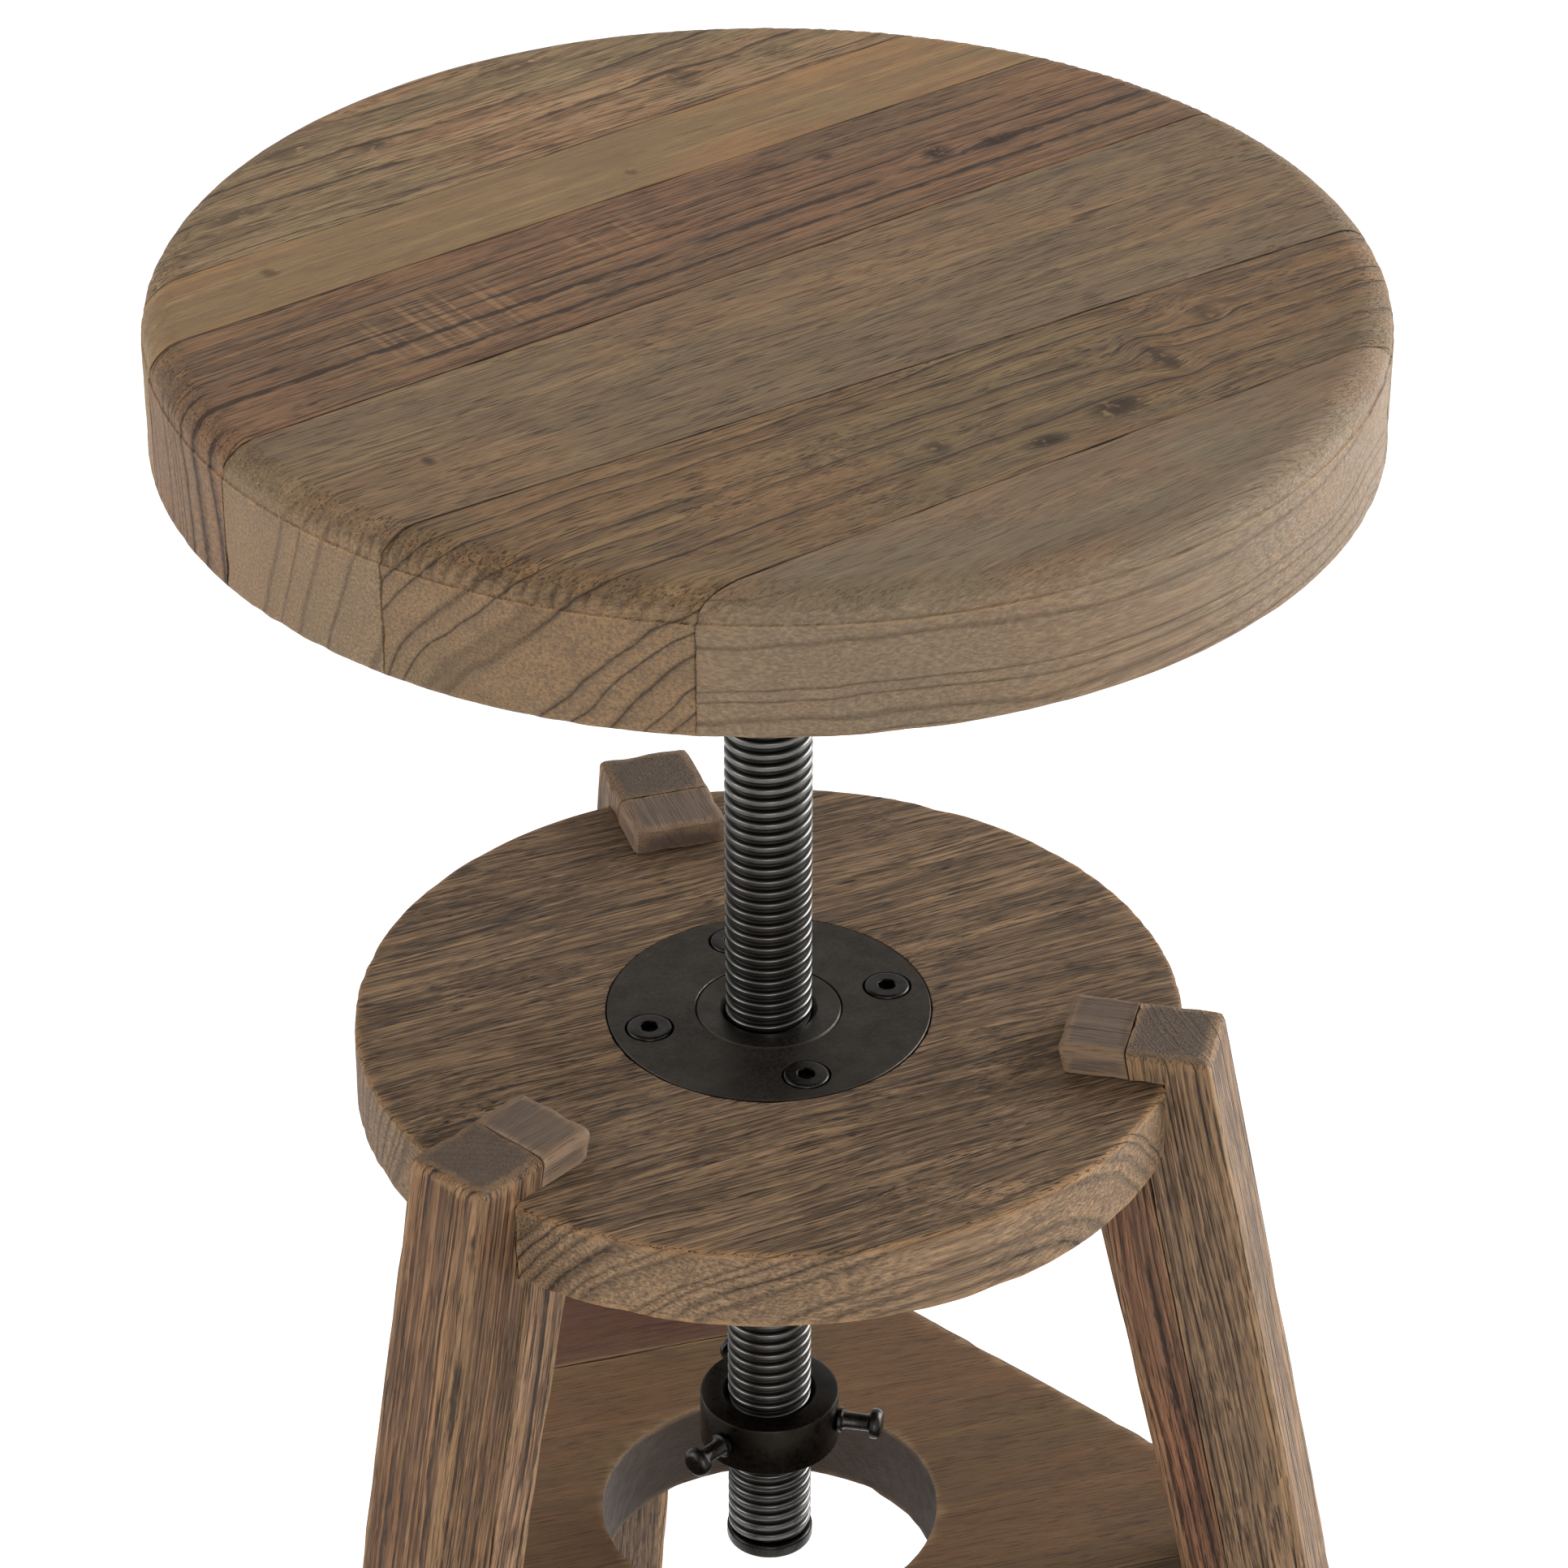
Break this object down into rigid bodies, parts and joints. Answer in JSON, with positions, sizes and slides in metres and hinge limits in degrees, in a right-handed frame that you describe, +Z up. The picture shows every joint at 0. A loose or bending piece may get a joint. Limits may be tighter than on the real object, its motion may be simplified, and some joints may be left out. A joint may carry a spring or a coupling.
{
  "type": "adjustable swivel stool",
  "caption": "Stool with a round seat of edge-glued reclaimed boards on a threaded post that winds through a flanged nut in a three-legged wooden frame with a triangular shelf and a lock collar.",
  "frame": {"origin": "on the floor, in the middle of the stool's box as seen from above, which is 27.75 mm behind the screw's axis", "axes": "+Z up along the screw, +X to the right as seen from the front, one leg straight to the back at +Y"},
  "size_m": [0.4096, 0.404, 0.6956],
  "materials": {
    "elm_grey_brown": "worn reclaimed wood, matt",
    "elm_red_brown": "worn reclaimed wood, matt",
    "elm_tan": "worn reclaimed wood, matt",
    "elm_disc_brown": "worn reclaimed wood, wire-brushed, matt",
    "elm_leg_brown": "worn reclaimed wood, wire-brushed, matt",
    "gunmetal_screw": "dark oiled steel, satin with bright crests",
    "blackened_iron": "blackened, matt",
    "black_oxide_steel": "black oxide, semi-gloss",
    "zinc_plated_steel": "zinc plated, satin",
    "beech_dowel": "bare beech",
    "black_nylon": "moulded, matt"
  },
  "bodies": {
    "frame": {"leg_disc": "elm_disc_brown", "flange_plate": "blackened_iron", "nut_hub": "blackened_iron", "flange_bolt_1": "black_oxide_steel", "flange_bolt_2": "black_oxide_steel", "flange_bolt_3": "black_oxide_steel", "flange_bolt_4": "black_oxide_steel", "tee_nut_1": "zinc_plated_steel", "tee_nut_2": "zinc_plated_steel", "tee_nut_3": "zinc_plated_steel", "tee_nut_4": "zinc_plated_steel", "leg_1_outer_board": "elm_leg_brown", "leg_1_inner_board": "elm_leg_brown", "leg_1_top_hook": "elm_leg_brown", "leg_2_outer_board": "elm_leg_brown", "leg_2_inner_board": "elm_leg_brown", "leg_2_top_hook": "elm_leg_brown", "leg_3_outer_board": "elm_leg_brown", "leg_3_inner_board": "elm_leg_brown", "leg_3_top_hook": "elm_leg_brown", "shelf_back_board": "elm_red_brown", "shelf_middle_board": "elm_tan", "shelf_front_board": "elm_grey_brown", "disc_dowel_1": "beech_dowel", "disc_dowel_2": "beech_dowel", "disc_dowel_3": "beech_dowel", "shelf_dowel_1": "beech_dowel", "shelf_dowel_2": "beech_dowel", "shelf_dowel_3": "beech_dowel", "foot_glide_1": "black_nylon", "foot_glide_2": "black_nylon", "foot_glide_3": "black_nylon"},
    "end_stop": {"end_stop_washer": "black_oxide_steel"},
    "seat": {"seat_board_1": "elm_grey_brown", "seat_board_2": "elm_tan", "seat_board_3": "elm_red_brown", "seat_board_4": "elm_tan", "seat_board_5": "elm_grey_brown", "seat_board_6": "elm_tan", "seat_mounting_plate": "blackened_iron", "plate_screw_1": "zinc_plated_steel", "plate_screw_2": "zinc_plated_steel", "plate_screw_3": "zinc_plated_steel", "plate_screw_4": "zinc_plated_steel", "height_screw": "gunmetal_screw", "end_stop_bolt": "black_oxide_steel"},
    "collar": {"lock_collar": "blackened_iron"},
    "collar_handles": {"collar_handle_1": "black_oxide_steel", "collar_handle_2": "black_oxide_steel", "collar_handle_3": "black_oxide_steel"}
  },
  "joints": [
    {"name": "seat_lift", "type": "slide", "parent": "frame", "child": "end_stop", "axis": [0, 0, 1], "range_m": [-0.185, 0.09]},
    {"name": "seat_spin", "type": "hinge", "parent": "end_stop", "child": "seat", "pos_m": [0, -0.02775, 0.5], "axis": [0, 0, 1], "range_deg": [-16650, 8100]},
    {"name": "collar_lift", "type": "slide", "parent": "seat", "child": "collar", "axis": [0, 0, 1], "range_m": [-0.03, 0.028]},
    {"name": "collar_spin", "type": "hinge", "parent": "collar", "child": "collar_handles", "pos_m": [0, -0.02775, 0.2955], "axis": [0, 0, 1], "range_deg": [-2700, 2520]}
  ],
  "couplings": [
    {"joint": "seat_lift", "follows": "seat_spin", "m_per_rad": 0.00063662},
    {"joint": "collar_lift", "follows": "collar_spin", "m_per_rad": 0.00063662}
  ]
}
